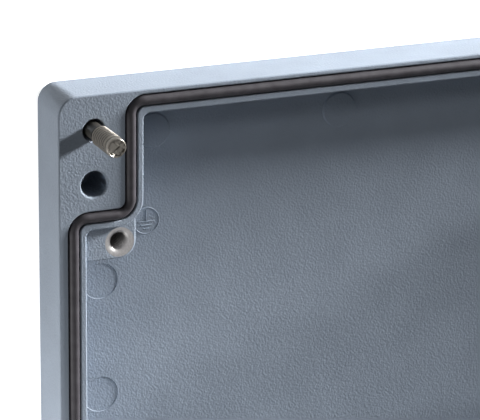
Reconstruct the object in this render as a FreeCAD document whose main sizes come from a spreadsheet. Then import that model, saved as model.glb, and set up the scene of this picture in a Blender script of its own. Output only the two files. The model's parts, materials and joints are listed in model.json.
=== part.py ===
import FreeCAD, Part

import math
import os

import Sketcher
from FreeCAD import Vector

# A die cast aluminium box taken apart: the base lies on its back with its open side up,
# and the lid lies in front of it (towards -Y) with its inside up. Millimetres and degrees.
# The origin is the centre of the base's back face. X runs along the box, Y across it, Z up.

SIZES = [
    ("box_length", 260.0, "outer length at the mating plane"),
    ("box_width", 160.0, "outer width at the mating plane"),
    ("lid_height", 20.0, "lid, outer face to mating plane"),
    ("base_height", 71.0, "base, back face to mating plane"),
    ("lid_plate", 4.0, "thickness of the lid's plate"),
    ("base_plate", 4.0, "thickness of the base's back"),
    ("lid_gap", 20.0, "space between base and lid as they lie"),
    ("corner_radius", 6.0, "upright outer corners of both castings"),
    ("draft_angle", 1.0, "taper of the cast walls"),
    ("edge_softening", 0.5, "bevel of the outer edge at the mating plane"),
    ("back_edge_radius", 2.5, "rounding round the outer faces"),
    ("flange_x", 2.8, "land between a short side and the seal groove"),
    ("flange_y", 1.45, "land between a long side and the seal groove"),
    ("column_x", 20.25, "corner column, short side to the seal groove"),
    ("column_y", 34.65, "corner column, long side to the seal groove"),
    ("groove_width", 3.7, "seal groove"),
    ("groove_depth", 3.5, "seal groove"),
    ("bend_inner", 2.35, "inner radius of the groove's bends"),
    ("rim_width", 1.85, "rim between the groove and the hollow"),
    ("rim_bevel", 0.35, "bevel of the rim's and the groove's edges"),
    ("lid_corner", 2.0, "inner corners of the lid's hollow"),
    ("base_corner", 4.0, "inner corners of the base's hollow"),
    ("floor_bevel", 1.0, "slope between the walls and the floor"),
    ("gasket_clearance", 0.15, "gap each side of the seal in its groove"),
    ("gasket_proud", 0.9, "height of the seal above the mating plane"),
    ("gasket_bevel", 0.65, "share of the seal's half width that its bevels take"),
    ("tongue_width", 1.8, "base tongue that presses on the seal"),
    ("tongue_height", 1.0, "base tongue above its mating plane"),
    ("tongue_chamfer", 0.3, "bevel along the tongue"),
    ("hole_inset_x", 10.75, "corner holes from the short sides"),
    ("screw_inset_y", 10.5, "lid screws from the long sides"),
    ("wall_hole_inset_y", 26.5, "wall fixing holes from the long sides"),
    ("screw_passage", 3.35, "radius of the lid's hole round the screw"),
    ("neck_height", 8.0, "outer face to the neck, the depth of the head's recess"),
    ("neck_length", 2.5, "length of the neck that the thinned shank passes"),
    ("head_recess_gap", 0.75, "gap round the screw head in its recess"),
    ("blind_radius", 3.9, "radius of the lid's blind holes"),
    ("blind_depth", 13.0, "depth of the lid's blind holes"),
    ("blind_bevel", 0.6, "soft rim of the blind holes"),
    ("thread_radius", 3.0, "lid screw, outer radius of the thread"),
    ("thread_core", 2.5, "radius of the tapped holes for these screws"),
    ("thread_length", 13.0, "lid screw, threaded end"),
    ("thread_bevel", 0.7, "bevels at both ends of the thread"),
    ("shank_radius", 2.42, "lid screw, thinned shank"),
    ("screw_length", 37.5, "lid screw, overall"),
    ("head_radius", 5.0, "lid screw head"),
    ("head_height", 4.2, "lid screw head"),
    ("head_bevel", 0.8, "rim of the lid screw head"),
    ("slot_width", 1.6, "driver slot"),
    ("slot_depth", 2.0, "driver slot"),
    ("tip_cup_radius", 1.7, "hollow in the screw's end"),
    ("tip_cup_depth", 0.4, "hollow in the screw's end"),
    ("screw_rest", 0.5, "screw head above the plane of the lid's outer face"),
    ("ring_bore_gap", 0.06, "gap between the shank and its retaining ring"),
    ("ring_side_gap", 0.25, "gap between the ring and the lid's hole"),
    ("ring_seat_gap", 0.1, "gap between the ring and the neck under it"),
    ("ring_thickness", 1.2, "retaining ring"),
    ("ring_split", 1.2, "opening in the retaining ring"),
    ("earth_inset_x", 19.0, "earth point from the short side"),
    ("earth_inset_y", 45.25, "earth point from the long side"),
    ("earth_pad_radius", 5.0, "round corner of the earth pad"),
    ("earth_pad_drop", 1.5, "earth pad below the lid's mating plane"),
    ("earth_pad_bevel", 0.5, "edge of the earth pad"),
    ("earth_hole_depth", 12.0, "tapped earth hole"),
    ("earth_bare_radius", 4.45, "bare countersink at the mouth of the earth hole"),
    ("earth_bare_depth", 0.75, "bare countersink at the mouth of the earth hole"),
    ("tap_bevel", 0.6, "bevel at the mouth of the tapped holes"),
    ("base_earth_height", 12.0, "base earth pad above the floor"),
    ("mark_radius", 5.5, "ejector marks, where they meet the floor"),
    ("mark_step", 0.45, "height or depth of the ejector marks"),
    ("mark_slope", 45.0, "slope of the ejector marks' edges"),
    ("mark_near_x", 34.8, "first ejector mark from the short side"),
    ("mark_near_y", 17.6, "ejector marks beside the long side"),
    ("mark_far_x", 94.9, "second ejector mark from the short side"),
    ("mark_low_x", 18.4, "sunk ejector mark from the short side"),
    ("mark_low_y", 62.1, "sunk ejector mark from the long side"),
    ("tapped_depth", 25.0, "base, tapped holes for the lid screws"),
    ("wall_hole_radius", 3.5, "base, wall fixing holes"),
    ("wall_recess_radius", 6.0, "base, recess for the wall screw's head"),
    ("wall_seat", 12.0, "base, back face to the wall screw's seat"),
    ("pillar_x", 95.0, "base, pillars from the middle along the box"),
    ("pillar_y", 60.0, "base, pillars from the middle across the box"),
    ("pillar_radius", 5.0, "base, pillars"),
    ("pillar_height", 8.0, "base, pillars above the floor"),
    ("pillar_hole_radius", 1.65, "tapped holes in the pillars"),
    ("pillar_hole_depth", 7.0, "tapped holes in the pillars"),
]

ORIGIN, POINT, END, CENTRE = -1, 1, 2, 3
NEAR = 0.01
QUARTERS = ((1, 1), (-1, 1), (-1, -1), (1, -1))

doc = FreeCAD.newDocument("DieCastBox")
table = doc.addObject("Spreadsheet::Sheet", "Size")
for row, (alias, number, note) in enumerate(SIZES, start=1):
    table.set(f"A{row}", alias)
    table.set(f"B{row}", str(number))
    table.set(f"C{row}", note)
    table.setAlias(f"B{row}", alias)
doc.recompute()


def value(expression):
    """An expression over the size table as a plain number."""
    return float(table.evalExpression(expression))


# Sketch helpers

def new_body(label):
    body = doc.addObject("PartDesign::Body", label)
    body.Label = label
    return body


def new_sketch(body, name, plane="XY_Plane", height=None):
    """A sketch on one of the body's own origin planes, raised by an expression."""
    sketch = body.newObject("Sketcher::SketchObject", f"{body.Name}_{name}")
    support = next(part for part in body.Origin.OriginFeatures if part.Role == plane)
    sketch.AttachmentSupport = (support, [""])
    sketch.MapMode = "FlatFace"
    if height:
        sketch.setExpression("AttachmentOffset.Base.z", height)
    return sketch


def constrain(sketch, fixed, sized):
    """Add plain constraints, then sized ones, each tied to its expression."""
    sketch.addConstraint(fixed)
    for kind, ends, expression in sized:
        index = sketch.addConstraint(Sketcher.Constraint(kind, *ends, value(expression)))
        sketch.setExpression(f"Constraints[{index}]", expression)


def from_origin(axis, sign, geometry, point, expression):
    """A distance from the sketch's origin, always given as a positive length."""
    ends = (ORIGIN, POINT, geometry, point) if sign > 0 else (geometry, point, ORIGIN, POINT)
    return (f"Distance{axis}", ends, expression)


def draw_outline(sketch, corners, radii):
    """Straight runs joined by tangent arcs. A corner is (sign x, x, sign y, y, kind of bend)."""
    points = [Vector(sx * value(x), sy * value(y), 0) for sx, x, sy, y, kind in corners]
    bends = [value(radii[corner[-1]]) for corner in corners]
    count = len(corners)
    fixed = []
    sized = []
    lines = []
    ways = []
    for i in range(count):
        j = (i + 1) % count
        way = (points[j] - points[i]).normalize()
        ways.append(way)
        start = points[i] + way * bends[i]
        lines.append(sketch.addGeometry(Part.LineSegment(start, points[j] - way * bends[j])))
        sign_x, x, sign_y, y, kind = corners[i]
        if (sign_x, x) == corners[j][:2]:
            fixed.append(Sketcher.Constraint("Vertical", lines[i]))
            sized.append(from_origin("X", sign_x, lines[i], POINT, x))
        else:
            fixed.append(Sketcher.Constraint("Horizontal", lines[i]))
            sized.append(from_origin("Y", sign_y, lines[i], POINT, y))
    for i in range(count):
        before = ways[i - 1]
        after = ways[i]
        centre = points[i] + (after - before) * bends[i]
        left_turn = before.cross(after).z > 0
        first = points[i] - before * bends[i] if left_turn else points[i] + after * bends[i]
        angle = math.atan2(first.y - centre.y, first.x - centre.x)
        circle = Part.Circle(centre, Vector(0, 0, 1), bends[i])
        arc = sketch.addGeometry(Part.ArcOfCircle(circle, angle, angle + math.pi / 2))
        near, far = (POINT, END) if left_turn else (END, POINT)
        fixed.append(Sketcher.Constraint("Tangent", lines[i - 1], END, arc, near))
        fixed.append(Sketcher.Constraint("Tangent", arc, far, lines[i], POINT))
        sized.append(("Radius", (arc,), radii[corners[i][-1]]))
    constrain(sketch, fixed, sized)


def draw_rectangle(sketch, half_x, half_y, radius):
    corners = [(sx, half_x, sy, half_y, "corner") for sx, sy in QUARTERS]
    draw_outline(sketch, corners, {"corner": radius})


def draw_seal_line(sketch, inwards, corner=None):
    """The stepped outline that passes inside the corner columns, a distance in from the
    groove's outer wall. Its bends follow the groove unless the hollow's corner is given."""
    outer = corner or f"Size.bend_inner + Size.groove_width - ({inwards})"
    inner = f"Size.bend_inner + {inwards}"
    edge_x = f"Size.box_length / 2 - Size.flange_x - ({inwards})"
    edge_y = f"Size.box_width / 2 - Size.flange_y - ({inwards})"
    step_x = f"Size.box_length / 2 - Size.column_x - ({inwards})"
    step_y = f"Size.box_width / 2 - Size.column_y - ({inwards})"
    quarter = [(edge_x, step_y, "outer"), (step_x, step_y, "inner"), (step_x, edge_y, "outer")]
    corners = []
    for sx, sy in QUARTERS:
        ordered = quarter if sx * sy > 0 else quarter[::-1]
        corners += [(sx, x, sy, y, kind) for x, y, kind in ordered]
    draw_outline(sketch, corners, {"outer": outer, "inner": inner})


def draw_circles(sketch, places, radius):
    """One circle for each (sign x, x, sign y, y)."""
    sized = []
    for sx, x, sy, y in places:
        centre = Vector(sx * value(x), sy * value(y), 0)
        circle = sketch.addGeometry(Part.Circle(centre, Vector(0, 0, 1), value(radius)))
        sized.append(("Radius", (circle,), radius))
        sized.append(from_origin("X", sx, circle, CENTRE, x))
        sized.append(from_origin("Y", sy, circle, CENTRE, y))
    constrain(sketch, [], sized)


def draw_centred_circles(sketch, radii):
    fixed = []
    sized = []
    for radius in radii:
        circle = sketch.addGeometry(Part.Circle(Vector(0, 0, 0), Vector(0, 0, 1), value(radius)))
        fixed.append(Sketcher.Constraint("Coincident", circle, CENTRE, ORIGIN, POINT))
        sized.append(("Radius", (circle,), radius))
    constrain(sketch, fixed, sized)


def draw_profile(sketch, points):
    """A closed run of straight lines through (x, y) expressions, none of them negative."""
    places = [Vector(value(x), value(y), 0) for x, y in points]
    count = len(points)
    lines = []
    fixed = []
    sized = []
    for i in range(count):
        lines.append(sketch.addGeometry(Part.LineSegment(places[i], places[(i + 1) % count])))
    for i, (x, y) in enumerate(points):
        fixed.append(Sketcher.Constraint("Coincident", lines[i - 1], END, lines[i], POINT))
        for axis, other, expression in (("X", -2, x), ("Y", -1, y)):
            if expression == "0":
                fixed.append(Sketcher.Constraint("PointOnObject", lines[i], POINT, other))
            else:
                sized.append(from_origin(axis, 1, lines[i], POINT, expression))
    constrain(sketch, fixed, sized)


def in_four_corners(x, y):
    return [(sx, x, sy, y) for sx, sy in QUARTERS]


# Feature helpers

def finish_feature(body, feature, gains):
    """Recompute, and stop if the feature failed or changed the volume the wrong way."""
    before = body.Tip.Shape.Volume if body.Tip and not body.Tip.Shape.isNull() else 0.0
    body.Tip = feature
    doc.recompute()
    change = feature.Shape.Volume - before
    if not feature.isValid() or change * gains <= 0:
        raise RuntimeError(f"{feature.Label} failed or changed nothing")
    return feature


def pad(body, name, sketch, length, downwards=False, taper=None):
    feature = doc.addObject("PartDesign::Pad", f"{body.Name}_{name}")
    last = body.Tip
    body.addObject(feature)
    body.Tip = last
    feature.Profile = sketch
    feature.setExpression("Length", length)
    feature.Reversed = downwards
    if taper:
        feature.setExpression("TaperAngle", taper)
    return finish_feature(body, feature, 1)


def pocket(body, name, sketch, depth=None, upwards=False, taper=None):
    feature = doc.addObject("PartDesign::Pocket", f"{body.Name}_{name}")
    last = body.Tip
    body.addObject(feature)
    body.Tip = last
    feature.Profile = sketch
    feature.Reversed = upwards
    if depth:
        feature.setExpression("Length", depth)
    else:
        feature.Type = "ThroughAll"
    if taper:
        feature.setExpression("TaperAngle", taper)
    return finish_feature(body, feature, -1)


def edges_at(shape, height, keep=lambda middle: True):
    """Names of the edges that lie flat at a height and whose middle passes a test."""
    names = []
    for number, edge in enumerate(shape.Edges, start=1):
        box = edge.BoundBox
        flat = abs(box.ZMin - height) < NEAR and abs(box.ZMax - height) < NEAR
        middle = edge.valueAt((edge.FirstParameter + edge.LastParameter) / 2)
        if flat and keep(middle):
            names.append(f"Edge{number}")
    return names


def dress(body, kind, name, size, edges, gains=-1):
    """A fillet or chamfer on named edges of the body's last feature."""
    last = body.Tip
    feature = doc.addObject(f"PartDesign::{kind}", f"{body.Name}_{name}")
    body.addObject(feature)
    body.Tip = last
    feature.Base = (last, edges)
    feature.setExpression("Radius" if kind == "Fillet" else "Size", size)
    return finish_feature(body, feature, gains)


def inside_outer_edge(middle):
    """True for what lies inside the softened outer edge of the mating plane."""
    land = 2 * value("Size.edge_softening")
    near_x = abs(middle.x) < value("Size.box_length") / 2 - land
    return near_x and abs(middle.y) < value("Size.box_width") / 2 - land


def near_places(places, reach):
    """A test for points that lie within a reach of one of the places."""
    spots = [Vector(sx * value(x), sy * value(y), 0) for sx, x, sy, y in places]
    return lambda middle: any(
        math.hypot(middle.x - spot.x, middle.y - spot.y) < reach for spot in spots
    )


def on_free_side(place):
    """A test for the earth pad's edges that stand clear of the walls: its round corner and the
    straight runs to both sides of it."""
    sx, x, sy, y = place
    centre = Vector(sx * value(x), sy * value(y), 0)
    radius = value("Size.earth_pad_radius")

    def test(middle):
        run_x = abs(middle.x - (centre.x - sx * radius)) < NEAR
        run_y = abs(middle.y - (centre.y - sy * radius)) < NEAR
        round_corner = abs(math.hypot(middle.x - centre.x, middle.y - centre.y) - radius) < NEAR
        return run_x or run_y or round_corner

    return test


HOLE_X = "Size.box_length / 2 - Size.hole_inset_x"
SCREWS = in_four_corners(HOLE_X, "Size.box_width / 2 - Size.screw_inset_y")
WALL_HOLES = in_four_corners(HOLE_X, "Size.box_width / 2 - Size.wall_hole_inset_y")
HOLLOW = "Size.groove_width + Size.rim_width"


# Features that both castings have

def cast_block(body, height):
    """The tapered outer block, its wide end at the mating plane."""
    sketch = new_sketch(body, "outline", height=height)
    draw_rectangle(sketch, "Size.box_length / 2", "Size.box_width / 2", "Size.corner_radius")
    block = pad(body, "block", sketch, height, downwards=True, taper="-Size.draft_angle")
    rim = edges_at(block.Shape, value(height))
    softened = dress(body, "Chamfer", "softened_edge", "Size.edge_softening", rim)
    dress(body, "Fillet", "outer_rounding", "Size.back_edge_radius", edges_at(softened.Shape, 0))


def cast_hollow(body, height, plate, corner):
    """The stepped hollow, cut down to the plate, with a slope round its floor."""
    sketch = new_sketch(body, "hollow_outline", height=height)
    draw_seal_line(sketch, HOLLOW, corner=corner)
    hollow = pocket(body, "hollow", sketch, f"{height} - {plate}", taper="-Size.draft_angle")
    floor = edges_at(hollow.Shape, value(plate))
    dress(body, "Chamfer", "floor_slope", "Size.floor_bevel", floor, gains=1)


def earth_pad(body, floor, height, side_x, side_y):
    """A pad that fills the nook between a short wall and a corner column. Its one free corner
    is round and has the tapped hole in its middle."""
    centre_x = "Size.box_length / 2 - Size.earth_inset_x"
    centre_y = "Size.box_width / 2 - Size.earth_inset_y"
    root_x = "Size.box_length / 2 - Size.flange_x - Size.groove_width / 2"
    root_y = "Size.box_width / 2 - Size.column_y - Size.groove_width / 2"
    free_x = f"{centre_x} - Size.earth_pad_radius"
    free_y = f"{centre_y} - Size.earth_pad_radius"
    sketch = new_sketch(body, "earth_outline", height=floor)
    corners = [
        (side_x, root_x, side_y, root_y, "hidden"),
        (side_x, free_x, side_y, root_y, "hidden"),
        (side_x, free_x, side_y, free_y, "free"),
        (side_x, root_x, side_y, free_y, "hidden"),
    ]
    draw_outline(sketch, corners, {"hidden": "Size.rim_bevel", "free": "Size.earth_pad_radius"})
    pad(body, "earth_pad", sketch, height)
    return [(side_x, centre_x, side_y, centre_y)]


def drill(body, name, places, radius, height, depth, bevel=None):
    """Holes down from a height, with a bevel at each mouth."""
    sketch = new_sketch(body, f"{name}_centres", height=height)
    draw_circles(sketch, places, radius)
    holes = pocket(body, f"{name}_holes", sketch, depth)
    if bevel:
        at_mouth = near_places(places, 1.2 * value(radius))
        mouths = edges_at(holes.Shape, value(height), at_mouth)
        dress(body, "Chamfer", f"{name}_mouths", bevel, mouths)


def ejector_marks(body, floor):
    """The round prints that the ejector pins leave on the floor: two raised and one sunk a corner."""
    near_y = "Size.box_width / 2 - Size.mark_near_y"
    raised = in_four_corners("Size.box_length / 2 - Size.mark_near_x", near_y)
    raised += in_four_corners("Size.box_length / 2 - Size.mark_far_x", near_y)
    sunk = in_four_corners(
        "Size.box_length / 2 - Size.mark_low_x", "Size.box_width / 2 - Size.mark_low_y"
    )
    sketch = new_sketch(body, "raised_mark_centres", height=floor)
    draw_circles(sketch, raised, "Size.mark_radius")
    pad(body, "raised_marks", sketch, "Size.mark_step", taper="-Size.mark_slope")
    sketch = new_sketch(body, "sunk_mark_centres", height=floor)
    draw_circles(sketch, sunk, "Size.mark_radius")
    pocket(body, "sunk_marks", sketch, "Size.mark_step", taper="-Size.mark_slope")


# Lid casting

def make_lid():
    body = new_body("lid_casting")
    top = "Size.lid_height"
    cast_block(body, top)
    cast_hollow(body, top, "Size.lid_plate", "Size.lid_corner")

    pad_top = f"{top} - Size.earth_pad_drop"
    earth = earth_pad(body, "Size.lid_plate", f"{pad_top} - Size.lid_plate", 1, -1)
    free_edges = edges_at(body.Tip.Shape, value(pad_top), on_free_side(earth[0]))
    dress(body, "Chamfer", "earth_pad_edge", "Size.earth_pad_bevel", free_edges)
    drill(body, "earth", earth, "Size.thread_core", pad_top, "Size.earth_hole_depth")
    sketch = new_sketch(body, "earth_bare_rim", height=pad_top)
    draw_circles(sketch, earth, "Size.earth_bare_radius")
    bare_slope = "-atan((Size.earth_bare_radius - Size.thread_core) / Size.earth_bare_depth)"
    pocket(body, "earth_countersink", sketch, "Size.earth_bare_depth", taper=bare_slope)

    sketch = new_sketch(body, "groove_outline", height=top)
    draw_seal_line(sketch, "0")
    draw_seal_line(sketch, "Size.groove_width")
    groove = pocket(body, "groove", sketch, "Size.groove_depth")
    rims = edges_at(groove.Shape, value(top), inside_outer_edge)
    dress(body, "Chamfer", "rim_bevel", "Size.rim_bevel", rims)

    neck_top = "Size.neck_height + Size.neck_length"
    drill(body, "screw_neck", SCREWS, "Size.thread_core", top, top)
    drill(body, "screw_passage", SCREWS, "Size.screw_passage", top, f"{top} - ({neck_top})",
          "Size.rim_bevel")
    sketch = new_sketch(body, "head_recess_centres")
    draw_circles(sketch, SCREWS, "Size.head_radius + Size.head_recess_gap")
    pocket(body, "head_recesses", sketch, "Size.neck_height", upwards=True)
    drill(body, "blind", WALL_HOLES, "Size.blind_radius", top, "Size.blind_depth", "Size.blind_bevel")

    ejector_marks(body, "Size.lid_plate")
    return body


# Base casting

def make_base():
    body = new_body("base_casting")
    top = "Size.base_height"
    cast_block(body, top)
    cast_hollow(body, top, "Size.base_plate", "Size.base_corner")

    earth = earth_pad(body, "Size.base_plate", "Size.base_earth_height", -1, 1)
    pad_top = "Size.base_plate + Size.base_earth_height"
    drill(body, "earth", earth, "Size.thread_core", pad_top, "Size.earth_hole_depth", "Size.tap_bevel")

    sketch = new_sketch(body, "tongue_outline", height=top)
    draw_seal_line(sketch, "(Size.groove_width - Size.tongue_width) / 2")
    draw_seal_line(sketch, "(Size.groove_width + Size.tongue_width) / 2")
    tongue = pad(body, "tongue", sketch, "Size.tongue_height")
    crest = edges_at(tongue.Shape, value(f"{top} + Size.tongue_height"))
    dress(body, "Chamfer", "tongue_bevel", "Size.tongue_chamfer", crest)

    drill(body, "tapped", SCREWS, "Size.thread_core", top, "Size.tapped_depth", "Size.tap_bevel")
    drill(body, "wall", WALL_HOLES, "Size.wall_hole_radius", top, top)
    drill(body, "wall_recess", WALL_HOLES, "Size.wall_recess_radius", top, f"{top} - Size.wall_seat")

    pillars = in_four_corners("Size.pillar_x", "Size.pillar_y")
    sketch = new_sketch(body, "pillar_centres", height="Size.base_plate")
    draw_circles(sketch, pillars, "Size.pillar_radius")
    pad(body, "pillars", sketch, "Size.pillar_height")
    pillar_top = "Size.base_plate + Size.pillar_height"
    drill(body, "pillar", pillars, "Size.pillar_hole_radius", pillar_top, "Size.pillar_hole_depth")

    ejector_marks(body, "Size.base_plate")
    return body


# Seal

def make_gasket():
    """A closed cord with a bevelled crest that fills the lid's groove."""
    body = new_body("lid_gasket")
    bed = "Size.lid_height - Size.groove_depth"
    sketch = new_sketch(body, "cord_outline", height=bed)
    draw_seal_line(sketch, "Size.gasket_clearance")
    draw_seal_line(sketch, "Size.groove_width - Size.gasket_clearance")
    cord = pad(body, "cord", sketch, "Size.groove_depth + Size.gasket_proud")
    crest = edges_at(cord.Shape, value("Size.lid_height + Size.gasket_proud"))
    bevel = "Size.gasket_bevel * (Size.groove_width / 2 - Size.gasket_clearance)"
    dress(body, "Chamfer", "crest", bevel, crest)
    return body


# Captive screws and their rings, each standing head down in its hole

def make_screw(label):
    body = new_body(label)
    sketch = new_sketch(body, "profile", plane="XZ_Plane")
    thread_start = "Size.screw_length - Size.thread_length"
    draw_profile(sketch, [
        ("0", "0"),
        ("Size.head_radius", "0"),
        ("Size.head_radius", "Size.head_height"),
        ("Size.shank_radius", "Size.head_height"),
        ("Size.shank_radius", thread_start),
        ("Size.thread_radius", f"{thread_start} + Size.thread_radius - Size.shank_radius"),
        ("Size.thread_radius", "Size.screw_length - Size.thread_bevel"),
        ("Size.thread_radius - Size.thread_bevel", "Size.screw_length"),
        ("Size.tip_cup_radius", "Size.screw_length"),
        ("Size.tip_cup_radius", "Size.screw_length - Size.tip_cup_depth"),
        ("0", "Size.screw_length - Size.tip_cup_depth"),
    ])
    turned = doc.addObject("PartDesign::Revolution", f"{label}_turned")
    body.addObject(turned)
    turned.Profile = sketch
    turned.ReferenceAxis = (sketch, ["V_Axis"])
    turned.Angle = 360
    finish_feature(body, turned, 1)
    head_rim = edges_at(turned.Shape, 0)
    dress(body, "Chamfer", "head_rim", "Size.head_bevel", head_rim)
    slot = new_sketch(body, "slot_outline")
    half_width = "Size.slot_width / 2"
    corners = in_four_corners("Size.head_radius", half_width)
    places = [Vector(sx * value(x), sy * value(y), 0) for sx, x, sy, y in corners]
    fixed = []
    sized = []
    for i in range(4):
        slot.addGeometry(Part.LineSegment(places[i], places[(i + 1) % 4]))
    for i, (sx, x, sy, y) in enumerate(corners):
        fixed.append(Sketcher.Constraint("Coincident", (i - 1) % 4, END, i, POINT))
        sized.append(from_origin("X", sx, i, POINT, x))
        sized.append(from_origin("Y", sy, i, POINT, y))
    constrain(slot, fixed, sized)
    pocket(body, "slot", slot, "Size.slot_depth", upwards=True)
    return body


def make_ring(label):
    body = new_body(label)
    sketch = new_sketch(body, "outline")
    draw_centred_circles(sketch, [
        "Size.screw_passage - Size.ring_side_gap", "Size.shank_radius + Size.ring_bore_gap"
    ])
    pad(body, "blank", sketch, "Size.ring_thickness")
    split = new_sketch(body, "split_outline")
    draw_profile(split, [
        ("0", "0"), ("Size.ring_split", "0"),
        ("Size.ring_split", "Size.screw_passage"), ("0", "Size.screw_passage"),
    ])
    split.setExpression("AttachmentOffset.Base.x", "-Size.ring_split / 2")
    pocket(body, "split", split, "Size.ring_thickness", upwards=True)
    return body


def place(body, x="0", y="0", z="0"):
    for axis, expression in (("x", x), ("y", y), ("z", z)):
        if expression != "0":
            body.setExpression(f"Placement.Base.{axis}", expression)


LID_Y = "-(Size.box_width + Size.lid_gap)"

base = make_base()
lid = make_lid()
place(lid, y=LID_Y)
gasket = make_gasket()
place(gasket, y=LID_Y)
bodies = [base, lid, gasket]
for number, (side_x, x, side_y, y) in enumerate(SCREWS, start=1):
    screw = make_screw(f"lid_screw_{number}")
    ring = make_ring(f"screw_ring_{number}")
    along = f"{side_x} * ({x})"
    across = f"{LID_Y} + {side_y} * ({y})"
    place(screw, along, across, "Size.screw_rest")
    place(ring, along, across, "Size.neck_height + Size.neck_length + Size.ring_seat_gap")
    bodies += [screw, ring]
doc.recompute()

for item in doc.Objects:
    if "Invalid" in item.State or "Error" in item.State:
        raise RuntimeError(f"{item.Label} failed: {item.State}")
for body in bodies:
    if body.Shape.isNull() or not body.Shape.isValid():
        raise RuntimeError(f"{body.Label} has no valid shape")

os.makedirs("parts", exist_ok=True)
for body in bodies:
    body.Shape.exportStep(f"parts/{body.Label}.step")
    print(body.Label, round(body.Shape.Volume), "mm3", body.Shape.BoundBox)
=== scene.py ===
import json
import math

import bpy
from bpy.props import FloatProperty, FloatVectorProperty, PointerProperty
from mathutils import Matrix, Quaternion, Vector

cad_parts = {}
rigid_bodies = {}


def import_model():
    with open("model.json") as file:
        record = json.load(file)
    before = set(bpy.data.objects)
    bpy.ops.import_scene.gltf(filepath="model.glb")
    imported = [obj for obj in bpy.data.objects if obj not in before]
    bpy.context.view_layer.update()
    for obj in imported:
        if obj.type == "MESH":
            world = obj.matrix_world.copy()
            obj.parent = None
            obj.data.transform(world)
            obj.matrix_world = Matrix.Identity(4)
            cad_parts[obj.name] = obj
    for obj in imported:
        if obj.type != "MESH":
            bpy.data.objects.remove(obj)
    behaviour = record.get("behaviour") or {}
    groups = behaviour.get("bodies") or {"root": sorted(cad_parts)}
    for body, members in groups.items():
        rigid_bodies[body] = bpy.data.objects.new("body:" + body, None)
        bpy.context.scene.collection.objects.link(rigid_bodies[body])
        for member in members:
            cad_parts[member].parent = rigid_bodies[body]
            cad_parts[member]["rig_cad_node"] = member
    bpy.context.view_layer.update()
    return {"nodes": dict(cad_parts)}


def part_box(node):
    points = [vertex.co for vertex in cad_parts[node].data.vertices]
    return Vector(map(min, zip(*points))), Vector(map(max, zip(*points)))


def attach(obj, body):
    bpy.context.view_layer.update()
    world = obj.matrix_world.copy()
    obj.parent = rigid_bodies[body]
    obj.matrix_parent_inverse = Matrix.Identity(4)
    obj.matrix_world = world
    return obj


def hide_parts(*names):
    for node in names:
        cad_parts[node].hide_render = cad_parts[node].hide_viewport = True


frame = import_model()

bl_info = {
    "name": "Die Cast Box",
    "version": (1, 0, 0),
    "blender": (4, 5, 0),
    "location": "3D View > Sidebar > Die Cast Box",
    "description": "Dresses a die cast aluminium box, its seal and its captive screws",
    "category": "Object",
}

# Metres throughout, in the frame's own axes. The lid lies inside up in front of the base.
MM = 0.001
base_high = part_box("base_casting")[1]
lid_low, lid_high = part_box("lid_casting")
seal_low, seal_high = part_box("lid_gasket")
lid_centre = (lid_low + lid_high) / 2
SCREW_NUMBERS = (1, 2, 3, 4)

# Both castings: half their outline, the slope of their walls and the roundings of their edges.
# The rim is the wall between the groove and the hollow. Edges flatter than SMOOTH_BELOW degrees
# are shaded smoothly.
HALF = Vector((130, 80, 0)) * MM
DRAFT = math.tan(math.radians(1))
CORNERS = ((1, 1), (-1, 1), (-1, -1), (1, -1))
CORNER_RADIUS = 6 * MM
EDGE_ROUND = 0.5 * MM
BACK_ROUND = 2.5 * MM
RIM_WIDTH = 1.85 * MM
RIM_ROUND = 0.35 * MM
FLOOR_ROUND = 1.4 * MM
SMOOTH_BELOW = 35

# The thin plate that a casting's block starts from, and a thread's overlap with its hole or crest
SLIVER = 0.1 * MM
OVERLAP = 0.05 * MM

# Heights of the mating faces, the floors and the earth pads
LID_TOP = lid_high.z
LID_FLOOR = 4 * MM
LID_EARTH_TOP = LID_TOP - 1.5 * MM
BASE_TOP = base_high.z - 1 * MM
BASE_FLOOR = 4 * MM
BASE_EARTH_TOP = 16 * MM
GROOVE_DEPTH = 3.5 * MM

# Threads: the radii of the tapped core and of the screw, and how deep the tapped holes are cut
TAP_RADIUS = 2.5 * MM
THREAD_RADIUS = 3.0 * MM
LID_TAP_DEPTH = 10.5 * MM
LID_TAP_TURNS = 8
BASE_TAP_DEPTH = 11 * MM
BASE_TAP_TURNS = 9

# Places in a corner, each a distance in from its two sides
SCREW_INSET = Vector((10.75, 10.5, 0)) * MM
WALL_HOLE_INSET = Vector((10.75, 26.5, 0)) * MM
EARTH_INSET = Vector((19.0, 45.25, 0)) * MM
EARTH_ROOT_INSET = Vector((4.65, 36.5, 0)) * MM
EARTH_PAD_RADIUS = 5 * MM
PILLAR_INSET = Vector((35, 20, 0)) * MM
RAISED_MARK_INSETS = (Vector((34.8, 17.6, 0)) * MM, Vector((94.9, 17.6, 0)) * MM)
SUNK_MARK_INSET = Vector((18.4, 62.1, 0)) * MM

# A hollow's floor is cut at these places, so that no face takes up too many holes later.
HOLLOW_SPLITS = [aside * MM for aside in (-103, -80, -50, 0, 50, 80, 103)]

# The earth sign, and its bars as (across, along, half length across, half length along) in ring
# radii. Its foot points along +Y, as the photographed one does.
SIGN_INSET = Vector((32.9, 45.1, 0)) * MM
SIGN_HEIGHT = 0.25 * MM
SIGN_BARS = ((0, -0.38, 0, 0.42), (0, 0.06, 0.62, 0), (0, 0.34, 0.42, 0), (0, 0.60, 0.2, 0))

# A screw: half sizes of its driver slot in millimetres, the broken-up hollow in its end, and
# how far below its end the painted shade on the thread's crests begins
SLOT_HALVES = (6, 0.8, 2)
TIP_REACH = 2.25 * MM
TIP_DEPTH = 1.2 * MM
TIP_ROUGHNESS = 0.3 * MM
CREST_SHADE_START = 3 * MM

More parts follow.
